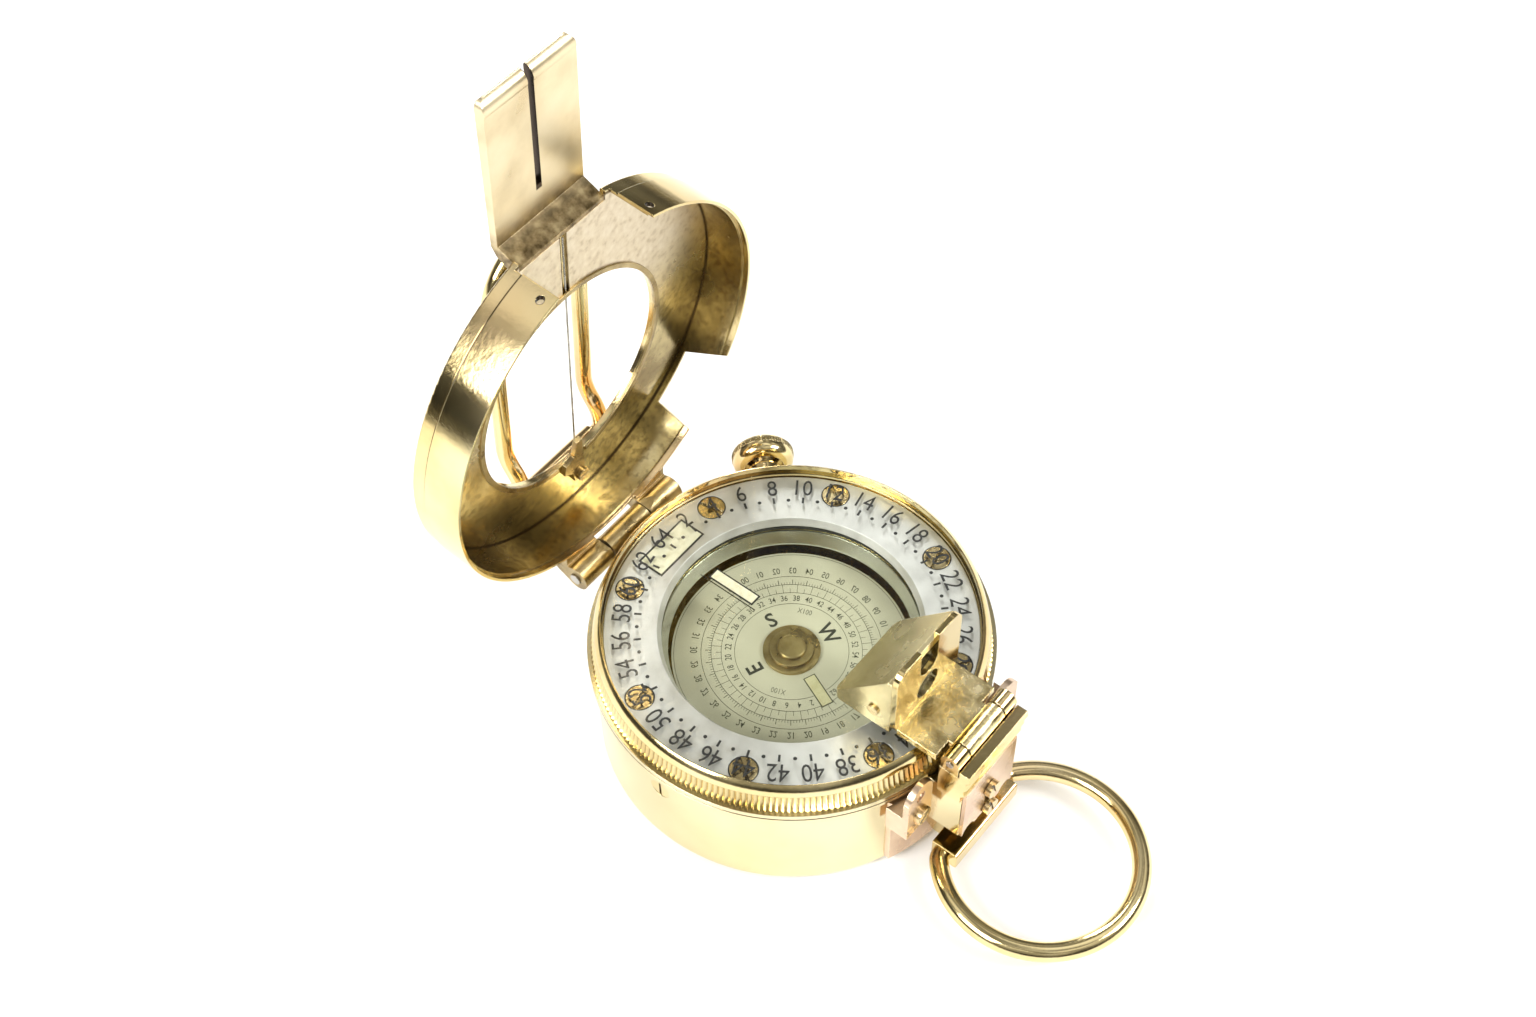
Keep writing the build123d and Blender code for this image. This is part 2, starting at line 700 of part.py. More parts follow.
crank_mid = (19.6, (bail_z + bail_top) / 2)
crank_low = (21.77, bail_z + 0.4)
crank_high = (17.43, bail_top - 0.4)
with BuildPart() as lid_bail:
    with BuildLine(lid_frame) as bail_path:
        Line((bail_x - 1.6, bail_y, bail_z), (bail_x - 1.5, bail_y, bail_z))
        ThreePointArc(
            (bail_x - 1.5, bail_y, bail_z),
            (bail_x - 1.5 + 1.5 * sin(radians(45)), bail_y - 1.5 + 1.5 * cos(radians(45)), bail_z),
            (bail_x, bail_y - 1.5, bail_z))
        ThreePointArc((bail_x, bail_y - 1.5, bail_z), (bail_x, *crank_low), (bail_x, *crank_mid))
        ThreePointArc((bail_x, *crank_mid), (bail_x, *crank_high), (bail_x, 15.0, bail_top))
        Line((bail_x, 15.0, bail_top), (bail_x, -15.2, bail_top))
        ThreePointArc((bail_x, -15.2, bail_top), (0, -24.0, bail_top), (-bail_x, -15.2, bail_top))
        Line((-bail_x, -15.2, bail_top), (-bail_x, 15.0, bail_top))
        ThreePointArc((-bail_x, 15.0, bail_top), (-bail_x, *crank_high), (-bail_x, *crank_mid))
        ThreePointArc((-bail_x, *crank_mid), (-bail_x, *crank_low), (-bail_x, bail_y - 1.5, bail_z))
        ThreePointArc(
            (-bail_x, bail_y - 1.5, bail_z),
            (1.5 - bail_x - 1.5 * sin(radians(45)), bail_y - 1.5 + 1.5 * cos(radians(45)), bail_z),
            (1.5 - bail_x, bail_y, bail_z))
        Line((1.5 - bail_x, bail_y, bail_z), (1.6 - bail_x, bail_y, bail_z))
    with BuildSketch(Plane(origin=bail_path.line @ 0, z_dir=bail_path.line % 0)):
        Circle(bail_r)
    sweep(path=bail_path.line, transition=Transition.ROUND)
    # pins that turn in the tube
    for side in (-1, 1):
        with BuildSketch(lid_side.offset(side * 3.0)):
            with Locations((bail_y, bail_z)):
                Circle(1.0)
        extrude(amount=side * (bail_x - 4.6))
lid_bail.part.label = "lid_bail"
export_step(lid_bail.part, "parts/lid_bail.step")

# ------------------------------------------------------------- prism carrier
with BuildPart() as saddle:
    with BuildSketch(Plane.XY.offset(1.6)):
        Circle(saddle_r)
        Circle(case_r, mode=Mode.SUBTRACT)
        with Locations((0, -30)):
            Rectangle(24.5, 12, mode=Mode.INTERSECT)
    extrude(amount=15.9)
saddle.part.label = "saddle"
export_step(saddle.part, "parts/saddle.step")

with BuildPart() as ear_brackets:
    for side in (-1, 1):
        with BuildSketch(Plane.XZ.offset(30.0)):
            with Locations((side * 10.35, 17.0)):
                Rectangle(5.7, 9.0)
            with Locations((side * 10.35, 20.65)):
                Circle(2.85)
        extrude(amount=1.0)
        with BuildSketch(Plane.XZ.offset(27.0)):
            with Locations((side * 10.35, 15.1)):
                Rectangle(5.7, 5.2)
        extrude(amount=3.0)
        with BuildSketch(Plane.XZ.offset(26.0)):
            with Locations((side * 10.35, 21.0)):
                Circle(0.95)
            with Locations((side * 10.35, 16.4)):
                Circle(0.8)
        extrude(amount=6.0, mode=Mode.SUBTRACT)
    with BuildSketch(Plane.XY):
        Circle(saddle_r)
    extrude(amount=30, mode=Mode.SUBTRACT)
ear_brackets.part.label = "ear_brackets"
export_step(ear_brackets.part, "parts/ear_brackets.step")

with BuildPart() as ear_screws:
    for side in (-1, 1):
        with BuildSketch(Plane.XZ.offset(28.6)):
            with Locations((side * 10.35, 16.4)):
                Circle(0.8)
        extrude(amount=2.4)
        with BuildSketch(Plane.XZ.offset(31.0)):
            with Locations((side * 10.35, 16.4)):
                Circle(1.5)
        extrude(amount=0.9)
        with BuildSketch(Plane.XZ.offset(31.5)):
            with Locations((side * 10.35, 16.4)):
                Rectangle(3.2, 0.4, rotation=40)
        extrude(amount=0.6, mode=Mode.SUBTRACT)
ear_screws.part.label = "ear_screws"
export_step(ear_screws.part, "parts/ear_screws.step")

with BuildPart() as guide_block:
    with BuildSketch(Plane.XY.offset(8.4)):
        with Locations((0, -31.575)):
            Rectangle(12.4, 7.15)
        Circle(saddle_r, mode=Mode.SUBTRACT)
        with Locations((0, -32.5)):
            Rectangle(6.1, 2.1, mode=Mode.SUBTRACT)
    extrude(amount=10.6)
    with BuildSketch(Plane.XZ.offset(33.8)):
        with Locations((0, 14.8), (0, 9.8)):
            Circle(0.8)
    extrude(amount=2.0, mode=Mode.SUBTRACT)
guide_block.part.label = "guide_block"
export_step(guide_block.part, "parts/guide_block.step")

with BuildPart() as slide_screws:
    with BuildSketch(Plane.XZ.offset(33.8)):
        with Locations((0, 14.8), (0, 9.8)):
            Circle(0.8)
    extrude(amount=2.15)
    with BuildSketch(Plane.XZ.offset(35.95)):
        with Locations((0, 14.8), (0, 9.8)):
            Circle(1.4)
    extrude(amount=0.9)
    with BuildSketch(Plane.XZ.offset(36.45)):
        with Locations((0, 14.8), (0, 9.8)):
            Rectangle(0.4, 3.0, rotation=15)
    extrude(amount=0.6, mode=Mode.SUBTRACT)
slide_screws.part.label = "slide_screws"
export_step(slide_screws.part, "parts/slide_screws.step")

with BuildPart() as focus_slide:
    with BuildSketch(Plane.YZ):
        with BuildLine():
            Polyline(
                (-31.35, 19.1), (-31.35, 25.4), (-34.7, 25.4), (-34.7, 26.9), (-36.4, 26.9),
                (-36.6, 25.9), (-35.9, 24.9), (-36.2, 23.6), (-35.6, 22.4), (-35.9, 21.4),
                (-35.25, 20.8), (-35.25, 19.1), close=True)
        make_face()
    extrude(amount=prism_half, both=True)
    for side in (-1, 1):
        with BuildSketch(Plane.YZ.offset(side * 5.6)):
            with Locations((fold_y, fold_z)):
                Circle(barrel_r)
            with BuildLine():
                Polyline((-34.5, 25.3), (-31.5, 25.3), (-31.5, fold_z), (-34.5, fold_z), close=True)
            make_face()
        extrude(amount=1.35, both=True)
    with BuildSketch(Plane.YZ):
        with Locations((fold_y, fold_z)):
            Circle(0.6)
    extrude(amount=8.0, both=True, mode=Mode.SUBTRACT)
    # tongue that runs in the guide block
    with BuildSketch(Plane.XY.offset(10.0)):
        with Locations((0, -32.5)):
            Rectangle(6.0, 2.0)
    extrude(amount=9.3)
focus_slide.part.label = "focus_slide"
export_step(focus_slide.part, "parts/focus_slide.step")

with BuildPart() as slide_plate:
    with BuildSketch(Plane.XZ.offset(35.25)):
        with Locations((0, 14.7)):
            Rectangle(12.4, 11.6)
        with Locations((0, 12.1)):
            Rectangle(1.8, 7.2, mode=Mode.SUBTRACT)
        with Locations((-4.6, 8.6), (4.4, 8.4)):
            Circle(1.5, mode=Mode.SUBTRACT)
    extrude(amount=0.6)
slide_plate.part.label = "slide_plate"
export_step(slide_plate.part, "parts/slide_plate.step")

with BuildPart() as prism_pin:
    with BuildSketch(Plane.YZ):
        with Locations((fold_y, fold_z)):
            Circle(0.6)
    extrude(amount=7.1, both=True)
prism_pin.part.label = "prism_pin"
export_step(prism_pin.part, "parts/prism_pin.step")

# ---------------------------------------------------- folding prism housing
with BuildPart() as prism_leaf:
    with BuildSketch(Plane.YZ):
        with Locations((fold_y, fold_z)):
            Circle(barrel_r)
        with BuildLine():
            Polyline((fold_y, 26.3), (-30.5, 26.3), (-30.5, 27.5), (fold_y, 27.5), close=True)
        make_face()
    extrude(amount=4.0, both=True)
    with BuildSketch(Plane.XY.offset(26.3)):
        with Locations((0, -27.35)):
            Rectangle(2 * prism_half, 6.7)
    extrude(amount=1.2)
    with BuildSketch(Plane.YZ):
        with Locations((fold_y, fold_z)):
            Circle(0.66)
    extrude(amount=8.0, both=True, mode=Mode.SUBTRACT)
prism_leaf.part.label = "prism_leaf"
export_step(prism_leaf.part, "parts/prism_leaf.step")

with BuildPart() as prism_glass:
    with BuildSketch(Plane.YZ):
        with BuildLine():
            Polyline((-23.1, 27.5), (-14.9, 27.5), (-22.7, 36.9), (-23.1, 36.9), close=True)
        make_face()
    extrude(amount=6.2, both=True)
    with BuildSketch(Plane.XY.offset(20)):
        with Locations((0, -19.5)):
            Rectangle(12.4, 10.0)
    extrude(amount=30, mode=Mode.INTERSECT)
prism_glass.part.label = "prism_glass"
export_step(prism_glass.part, "parts/prism_glass.step")

with BuildPart() as prism_housing:
    with BuildSketch(Plane.YZ):
        with BuildLine():
            Polyline((-23.1, 26.5), (-13.3, 26.5), (-13.3, 27.7), (-22.4, 38.5), (-23.1, 38.5),
                     close=True)
        make_face()
    extrude(amount=hood_half, both=True)
    with BuildSketch(Plane.XY.offset(20)):
        with Locations((0, -20.3)):
            RectangleRounded(2 * hood_half, 14.0, 1.3)
    extrude(amount=30, mode=Mode.INTERSECT)
    add(prism_glass.part, mode=Mode.SUBTRACT)
    with BuildSketch(Plane.XY.offset(26.0)):
        with Locations((0, -18.6)):
            Circle(3.2)
    extrude(amount=1.6, mode=Mode.SUBTRACT)
prism_housing.part.label = "prism_housing"
export_step(prism_housing.part, "parts/prism_housing.step")

with BuildPart() as eye_plate:
    with BuildSketch(Plane.XZ.offset(23.1)):
        with Locations((0, 33.4)):
            RectangleRounded(2 * hood_half, 14.2, 2.2)
        with Locations((0, 38.3)):
            Rectangle(4.0, 5.0, mode=Mode.SUBTRACT)
        with Locations((0, 35.9)):
            Circle(2.0, mode=Mode.SUBTRACT)
        with Locations((0, eye_z)):
            Circle(eye_r, mode=Mode.SUBTRACT)
    extrude(amount=0.9)
eye_plate.part.label = "eye_plate"
export_step(eye_plate.part, "parts/eye_plate.step")

with BuildPart() as eye_lens:
    with BuildSketch(Plane.XZ.offset(23.1)):
        with Locations((0, eye_z)):
            Circle(eye_r)
    extrude(amount=0.5)
eye_lens.part.label = "eye_lens"
export_step(eye_lens.part, "parts/eye_lens.step")

with BuildPart() as housing_screws:
    for side in (-1, 1):
        with BuildSketch(Plane.YZ.offset(side * hood_half)):
            with Locations((-20.3, 29.9)):
                Circle(0.9)
        extrude(amount=side * 0.35)
housing_screws.part.label = "housing_screws"
export_step(housing_screws.part, "parts/housing_screws.step")

# --------------------------------------------------------------- finger ring
with BuildPart() as ring_bar:
    with BuildSketch(Plane.XY.offset(2.0)):
        with Locations((0, -34.2)):
            Rectangle(2 * bar_half, 4.4)
        with Locations((0, -30.6)):
            Rectangle(9.0, 4.0)
        Circle(saddle_r, mode=Mode.SUBTRACT)
    extrude(amount=3.3)
    fillet(ring_bar.edges().filter_by(Axis.X).sort_by(Axis.Y)[0:2], radius=0.5)
    for side in (-1, 1):
        with BuildSketch(Plane.YZ.offset(side * 4.6)):
            with Locations((pivot_y, pivot_z)):
                Circle(1.15)
        extrude(amount=side * 5.0, mode=Mode.SUBTRACT)
ring_bar.part.label = "ring_bar"
export_step(ring_bar.part, "parts/ring_bar.step")

# D-shaped wire ring: two elbows join the pivot pins to the round bow
elbow_r = 2.0
elbow_x = bar_half + 0.5
reach = pivot_y - ring_end_y - 2 * elbow_r
half_turn = degrees(2 * atan2(elbow_x, reach))
with BuildPart() as finger_ring:
    for side in (-1, 1):
        with BuildSketch(Plane.YZ.offset(side * 5.2 + ring_shift)):
            with Locations((pivot_y, pivot_z)):
                Circle(1.1)
        extrude(amount=side * 3.1)
    with BuildLine(Plane.XY.offset(pivot_z)) as ring_path:
        pin_1 = Line((elbow_x - 0.1 + ring_shift, pivot_y), (elbow_x + ring_shift, pivot_y))
        elbow_1 = JernArc(start=pin_1 @ 1, tangent=(1, 0), radius=elbow_r, arc_size=-half_turn)
        far = (-(elbow_1 @ 1).X + 2 * ring_shift, (elbow_1 @ 1).Y)
        bow = ThreePointArc(elbow_1 @ 1, (ring_shift, ring_end_y), far)
        elbow_2 = JernArc(start=bow @ 1, tangent=bow % 1, radius=elbow_r, arc_size=-half_turn)
        pin_2 = Line(elbow_2 @ 1, (-elbow_x + 0.1 + ring_shift, pivot_y))
    with BuildSketch(Plane(origin=ring_path.line @ 0, z_dir=ring_path.line % 0)):
        Circle(ring_wire_r)
    sweep(path=ring_path.line)
finger_ring.part.label = "finger_ring"
export_step(finger_ring.part, "parts/finger_ring.step")
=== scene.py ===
import bpy
import bmesh
import math
from mathutils import Matrix, Vector


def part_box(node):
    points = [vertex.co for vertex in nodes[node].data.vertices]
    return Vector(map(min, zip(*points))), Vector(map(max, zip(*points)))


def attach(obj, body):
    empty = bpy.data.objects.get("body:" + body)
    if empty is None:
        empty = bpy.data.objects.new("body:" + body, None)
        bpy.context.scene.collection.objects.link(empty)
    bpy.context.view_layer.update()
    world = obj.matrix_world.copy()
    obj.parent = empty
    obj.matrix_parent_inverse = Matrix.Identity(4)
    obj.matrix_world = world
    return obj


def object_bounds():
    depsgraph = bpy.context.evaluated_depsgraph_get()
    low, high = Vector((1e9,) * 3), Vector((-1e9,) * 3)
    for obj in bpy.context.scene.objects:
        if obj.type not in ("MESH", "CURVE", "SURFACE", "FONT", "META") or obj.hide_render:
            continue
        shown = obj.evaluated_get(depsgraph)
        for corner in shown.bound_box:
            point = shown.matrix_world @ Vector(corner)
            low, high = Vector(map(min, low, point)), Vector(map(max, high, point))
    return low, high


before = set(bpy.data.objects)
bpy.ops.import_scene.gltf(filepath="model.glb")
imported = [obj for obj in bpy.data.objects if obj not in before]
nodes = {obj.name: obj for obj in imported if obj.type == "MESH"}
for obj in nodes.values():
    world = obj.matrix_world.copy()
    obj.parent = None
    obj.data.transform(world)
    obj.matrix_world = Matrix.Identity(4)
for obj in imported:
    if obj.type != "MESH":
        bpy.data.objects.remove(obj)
cad_low, cad_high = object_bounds()
MM = 0.001


def box_mm(node):
    """Low and high corners of a CAD node's box, in millimetres."""
    low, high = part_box(node)
    return low / MM, high / MM


# ------------------------------------------------------------------ camera
CAM_AZ = math.radians(-50.63)
CAM_EL = math.radians(53.12)
CAM_ROLL = math.radians(-1.058)
CAM_PLACE = Vector((-0.13512, -0.10681, 0.28109))
CAM_LENS = 49.71
CAM_SENSOR = 36.0


def add_camera():
    level = Vector((math.sin(CAM_AZ), -math.cos(CAM_AZ), 0))
    back = level * math.cos(CAM_EL) + Vector((0, 0, math.sin(CAM_EL)))
    right = (-back).cross(Vector((0, 0, 1))).normalized()
    up = right.cross(-back)
    right_rolled = right * math.cos(CAM_ROLL) + up * math.sin(CAM_ROLL)
    up_rolled = up * math.cos(CAM_ROLL) - right * math.sin(CAM_ROLL)
    data = bpy.data.cameras.new("camera")
    data.sensor_width = CAM_SENSOR
    data.lens = CAM_LENS
    data.clip_start = 0.01
    cam = bpy.data.objects.new("camera", data)
    bpy.context.scene.collection.objects.link(cam)
    turn = Matrix((right_rolled, up_rolled, back)).transposed()
    cam.matrix_world = Matrix.Translation(CAM_PLACE) @ turn.to_4x4()
    bpy.context.scene.camera = cam


add_camera()


# ------------------------------------------------------------ shader helpers
def new_material(name):
    mat = bpy.data.materials.new(name)
    mat.use_nodes = True
    return mat, mat.node_tree


def object_coord(nt):
    """Place on the piece, which for a CAD node is its place in the frame at rest."""
    return nt.nodes.new("ShaderNodeTexCoord").outputs["Object"]


def ramp_of(nt, fac, stops):
    """Colour ramp through stops, each a position and a colour."""
    ramp = nt.nodes.new("ShaderNodeValToRGB")
    elements = ramp.color_ramp.elements
    elements[0].position = stops[0][0]
    elements[-1].position = stops[-1][0]
    for pos, _ in stops[1:-1]:
        elements.new(pos)
    for element, (_, colour) in zip(elements, stops):
        element.color = (*colour, 1.0)
    nt.links.new(fac, ramp.inputs["Fac"])
    return ramp.outputs["Color"]


def mix_colour(nt, fac, a, b, mode="MIX"):
    """Mix node for colours; fac, a and b are sockets or constants."""
    mix = nt.nodes.new("ShaderNodeMix")
    mix.data_type = "RGBA"
    mix.blend_type = mode
    for name, val in (("Factor", fac), ("A", a), ("B", b)):
        if isinstance(val, bpy.types.NodeSocket):
            nt.links.new(val, mix.inputs[name])
        elif isinstance(val, tuple):
            mix.inputs[name].default_value = (*val, 1)
        else:
            mix.inputs[name].default_value = val
    return mix.outputs["Result"]


def mix_value(nt, fac, a, b):
    """Mix node for single values; fac is a socket or a constant."""
    mix = nt.nodes.new("ShaderNodeMix")
    if isinstance(fac, bpy.types.NodeSocket):
        nt.links.new(fac, mix.inputs["Factor"])
    else:
        mix.inputs["Factor"].default_value = fac
    nt.links.new(a, mix.inputs["A"])
    nt.links.new(b, mix.inputs["B"])
    return mix.outputs["Result"]


def span(nt, value, lo, hi, out_lo=0.0, out_hi=1.0):
    """Value rescaled from lo..hi to out_lo..out_hi, clamped."""
    node = nt.nodes.new("ShaderNodeMapRange")
    for name, val in (("From Min", lo), ("From Max", hi), ("To Min", out_lo), ("To Max", out_hi)):
        node.inputs[name].default_value = val
    nt.links.new(value, node.inputs["Value"])
    return node.outputs["Result"]


def noise_of(nt, coord, scale, detail=4.0):
    node = nt.nodes.new("ShaderNodeTexNoise")
    node.inputs["Scale"].default_value = scale
    node.inputs["Detail"].default_value = detail
    nt.links.new(coord, node.inputs["Vector"])
    return node.outputs["Fac"]


def product(nt, a, b):
    node = nt.nodes.new("ShaderNodeMath")
    node.operation = "MULTIPLY"
    nt.links.new(a, node.inputs[0])
    nt.links.new(b, node.inputs[1])
    return node.outputs["Value"]


def absolute(nt, value):
    node = nt.nodes.new("ShaderNodeMath")
    node.operation = "ABSOLUTE"
    nt.links.new(value, node.inputs[0])
    return node.outputs["Value"]


def vector_math(nt, operation, a, b=None):
    """Vector Math node; b is a socket, a constant or nothing."""
    node = nt.nodes.new("ShaderNodeVectorMath")
    node.operation = operation
    nt.links.new(a, node.inputs[0])
    if isinstance(b, bpy.types.NodeSocket):
        nt.links.new(b, node.inputs[1])
    elif b is not None:
        node.inputs[1].default_value = b
    return node.outputs


def split_xyz(nt, coord):
    node = nt.nodes.new("ShaderNodeSeparateXYZ")
    nt.links.new(coord, node.inputs["Vector"])
    return node.outputs


def bump_of(nt, height, strength, distance, normal=None):
    node = nt.nodes.new("ShaderNodeBump")
    node.inputs["Strength"].default_value = strength
    node.inputs["Distance"].default_value = distance
    nt.links.new(height, node.inputs["Height"])
    if normal:
        nt.links.new(normal, node.inputs["Normal"])
    return node.outputs["Normal"]


def edge_mask(nt, radius):
    """The normal rounded over edges, and a mask of 1 along them and 0 on open faces."""
    bevel = nt.nodes.new("ShaderNodeBevel")
    bevel.samples = 4
    bevel.inputs["Radius"].default_value = radius
    rounded = bevel.outputs["Normal"]
    flat = nt.nodes.new("ShaderNodeNewGeometry").outputs["Normal"]
    return rounded, span(nt, vector_math(nt, "DOT_PRODUCT", rounded, flat)["Value"], 0.97, 0.80)


# ------------------------------------------------- finish of lid and tongue
# At rest the lid stands open, turned about its hinge. Its own axis and origin
# are those of the shut lid, which lies centred on the case, carried round.
LID_TURN = math.radians(-86.3)
HINGE_Y = 32.6 * MM
HINGE_Z = 18.8 * MM
LID_AXIS = Vector((0.0, -math.sin(LID_TURN), math.cos(LID_TURN)))
LID_ORIGIN = Vector((
    0.0,
    HINGE_Y - HINGE_Y * math.cos(LID_TURN) + HINGE_Z * math.sin(LID_TURN),
    HINGE_Z - HINGE_Y * math.sin(LID_TURN) - HINGE_Z * math.cos(LID_TURN)))
# each pair is where a mask starts and where it is full
CUP_EDGE_R = (30.70 * MM, 30.62 * MM)
CUP_DEPTH = (28.60 * MM, 28.50 * MM)
CORNER_R = (30.00 * MM, 30.28 * MM)
CORNER_DEPTH = (27.80 * MM, 28.06 * MM)
PLATE_DEPTH = (27.95 * MM, 28.05 * MM)
# centre of either hole in the skirt: distance to the side, and depth along the lid's axis
SKIRT_HOLE = (10.8 * MM, 22.4 * MM, 0.0)
SKIRT_HOLE_EDGE = (0.66 * MM, 0.62 * MM)
SKIRT_HOLE_ABOVE = (70 * MM, 72 * MM)
FADE_TOP = 62 * MM
FADE_LOW = 46 * MM
SPECK_TOP = 70 * MM
SPECK_LOW = 50 * MM
CRANK_TOP = (84.5 * MM, 81.5 * MM)
SLOT_EDGE = (0.56 * MM, 0.52 * MM)
SLOT_FOOT = (86.5 * MM, 86.7 * MM)
CORNER_SHADE = (0.15, 0.10, 0.04)
HOLE_SHADE = (0.04, 0.03, 0.02)
SPECK_BROWN = (0.20, 0.14, 0.06)
SLOT_SHADE = (0.06, 0.04, 0.025)


def lid_masks(nt, coord):
    """Masks on the lid: inside its cup, its corner, its plate and its two skirt holes; and the height."""
    off = vector_math(nt, "SUBTRACT", coord, LID_ORIGIN)["Vector"]
    depth = vector_math(nt, "DOT_PRODUCT", off, LID_AXIS)["Value"]
    across = vector_math(nt, "CROSS_PRODUCT", off, LID_AXIS)["Vector"]
    radius = vector_math(nt, "LENGTH", across)["Value"]
    inside = product(nt, span(nt, radius, *CUP_EDGE_R), span(nt, depth, *CUP_DEPTH))
    corner = product(nt, span(nt, radius, *CORNER_R), span(nt, depth, *CORNER_DEPTH))
    plate = span(nt, depth, *PLATE_DEPTH)
    place = split_xyz(nt, coord)
    spot = nt.nodes.new("ShaderNodeCombineXYZ")
    nt.links.new(absolute(nt, place["X"]), spot.inputs["X"])
    nt.links.new(depth, spot.inputs["Y"])
    from_hole = vector_math(nt, "DISTANCE", spot.outputs["Vector"], SKIRT_HOLE)["Value"]
    holes = product(nt, span(nt, from_hole, *SKIRT_HOLE_EDGE), span(nt, place["Z"], *SKIRT_HOLE_ABOVE))
    return inside, corner, plate, holes, place["Z"]


def age_lid_cup(nt, coord, colour, roughness):
    """Inside the lid's cup: a pale stippled plate above, brown tarnish below and on the skirt; painted shade
    along its inner corner and in its two skirt holes.
    """
    inside, corner, plate, holes, height = lid_masks(nt, coord)
    stipple = noise_of(nt, coord, 900.0, 5.0)
    stain = noise_of(nt, coord, 110.0, 6.0)
    pale = ramp_of(nt, stipple, [(0.28, (0.56, 0.46, 0.32)), (0.44, (0.69, 0.59, 0.43)),
                                 (0.70, (0.76, 0.67, 0.51))])
    brown = ramp_of(nt, stain, [(0.34, (0.30, 0.23, 0.10)), (0.52, (0.56, 0.45, 0.21)),
                                (0.68, (0.80, 0.68, 0.38))])
    speck = product(nt, span(nt, stipple, 0.50, 0.38), span(nt, height, SPECK_TOP, SPECK_LOW, 0.20, 0.45))
    brown = mix_colour(nt, speck, brown, SPECK_BROWN)
    plate_colour = mix_colour(nt, span(nt, height, FADE_TOP, FADE_LOW), pale, brown)
    colour = mix_colour(nt, inside, colour, mix_colour(nt, plate, brown, plate_colour))
    # painted shade: a dark line along the inner corner between plate and skirt
    colour = mix_colour(nt, product(nt, corner, inside), colour, CORNER_SHADE)
    # painted shade: near-black colour round the two skirt holes
    colour = mix_colour(nt, holes, colour, HOLE_SHADE)
    matte = mix_value(nt, product(nt, plate, span(nt, height, FADE_LOW, FADE_TOP)),
                      span(nt, stain, 0.3, 0.7, 0.30, 0.14), span(nt, stipple, 0.3, 0.7, 0.46, 0.34))
    return colour, mix_value(nt, inside, roughness, matte)


def age_tongue_crank(nt, coord, colour):
    """The sighting tongue: mottled painted shade on the crank at its foot, and painted shade on the wall of
    its slot.
    """
    place = split_xyz(nt, coord)
    stipple = noise_of(nt, coord, 700.0, 5.0)
    shaded_mottle = ramp_of(nt, stipple, [(0.32, (0.10, 0.07, 0.03)), (0.52, (0.30, 0.22, 0.11)),
                                    (0.70, (0.52, 0.41, 0.22))])
    # painted shade: the crank at the tongue's foot darkened with a mottled ramp
    colour = mix_colour(nt, span(nt, place["Z"], *CRANK_TOP), colour, shaded_mottle)
    in_slot = product(nt, span(nt, absolute(nt, place["X"]), *SLOT_EDGE), span(nt, place["Z"], *SLOT_FOOT))
    # painted shade: dark colour on the slot's side wall
    return mix_colour(nt, in_slot, colour, SLOT_SHADE)


# ---------------------------------------------------------------- materials
METAL_BUMP_DEPTH = 0.6 * MM
PLAIN_BUMP_DEPTH = 0.3 * MM
GLASS_IOR = 1.45
GLASS_GLOSS = 0.04


def metal(name, dark, mid, light, rough, scale, bump, fine=1400.0, tint=None,
          crevice_shade=(0.16, 0.10, 0.04), edge=0.16 * MM, reach=0.9 * MM, cup=False, crank=False):
    """Polished metal: cloudy tone, fine scratches, painted shade in corners and crevices, and painted
    highlights along edges.
    """
    mat, nt = new_material(name)
    bsdf = nt.nodes["Principled BSDF"]
    bsdf.inputs["Metallic"].default_value = 1.0
    coord = object_coord(nt)
    cloud = noise_of(nt, coord, scale, 5.0)
    grain = noise_of(nt, coord, fine, 3.0)
    colour = ramp_of(nt, cloud, [(0.28, dark), (0.52, mid), (0.78, light)])
    if tint:
        patch = noise_of(nt, coord, scale * 0.35, 2.0)
        colour = mix_colour(nt, ramp_of(nt, patch, [(0.50, (0, 0, 0)), (0.72, (1, 1, 1))]), colour, tint)
    # painted shade: colour darkened towards a dark tone where ambient occlusion finds corners and crevices,
    # broken up by fine grain
    shade = nt.nodes.new("ShaderNodeAmbientOcclusion")
    shade.samples = 4
    shade.only_local = True
    shade.inputs["Distance"].default_value = reach
    crevice_shade_mask = product(nt, span(nt, shade.outputs["AO"], 0.86, 0.45), span(nt, grain, 0.25, 0.6, 0.55, 1.0))
    colour = mix_colour(nt, crevice_shade_mask, colour, crevice_shade)
    # painted highlight: colour lightened along every edge the bevel normal finds
    normal, edge_highlight = edge_mask(nt, edge)
    highlight_colour = tuple(min(1.0, c * 1.12 + 0.04) for c in light)
    colour = mix_colour(nt, product(nt, edge_highlight, span(nt, cloud, 0.35, 0.6, 0.1, 0.55)), colour, highlight_colour)
    roughness = span(nt, cloud, 0.3, 0.75, *rough)
    if cup:
        colour, roughness = age_lid_cup(nt, coord, colour, roughness)
    if crank:
        colour = age_tongue_crank(nt, coord, colour)
    nt.links.new(colour, bsdf.inputs["Base Color"])
    nt.links.new(roughness, bsdf.inputs["Roughness"])
    height = mix_value(nt, 0.35, cloud, grain)
    nt.links.new(bump_of(nt, height, bump, METAL_BUMP_DEPTH, normal), bsdf.inputs["Normal"])
    return mat


def plain(name, low, high, rough, scale=400.0, bump=0.03, coat=0.0, glow=0.0):
    """Paint, ink, rubber or stone: two close tones in a soft cloud, with a faint bump."""
    mat, nt = new_material(name)
    bsdf = nt.nodes["Principled BSDF"]
    bsdf.inputs["Roughness"].default_value = rough
    bsdf.inputs["Coat Weight"].default_value = coat
    cloud = noise_of(nt, object_coord(nt), scale)
    colour = ramp_of(nt, cloud, [(0.3, low), (0.7, high)])
    nt.links.new(colour, bsdf.inputs["Base Color"])
    if glow:
        nt.links.new(colour, bsdf.inputs["Emission Color"])
        bsdf.inputs["Emission Strength"].default_value = glow
    nt.links.new(bump_of(nt, cloud, bump, PLAIN_BUMP_DEPTH), bsdf.inputs["Normal"])
    return mat


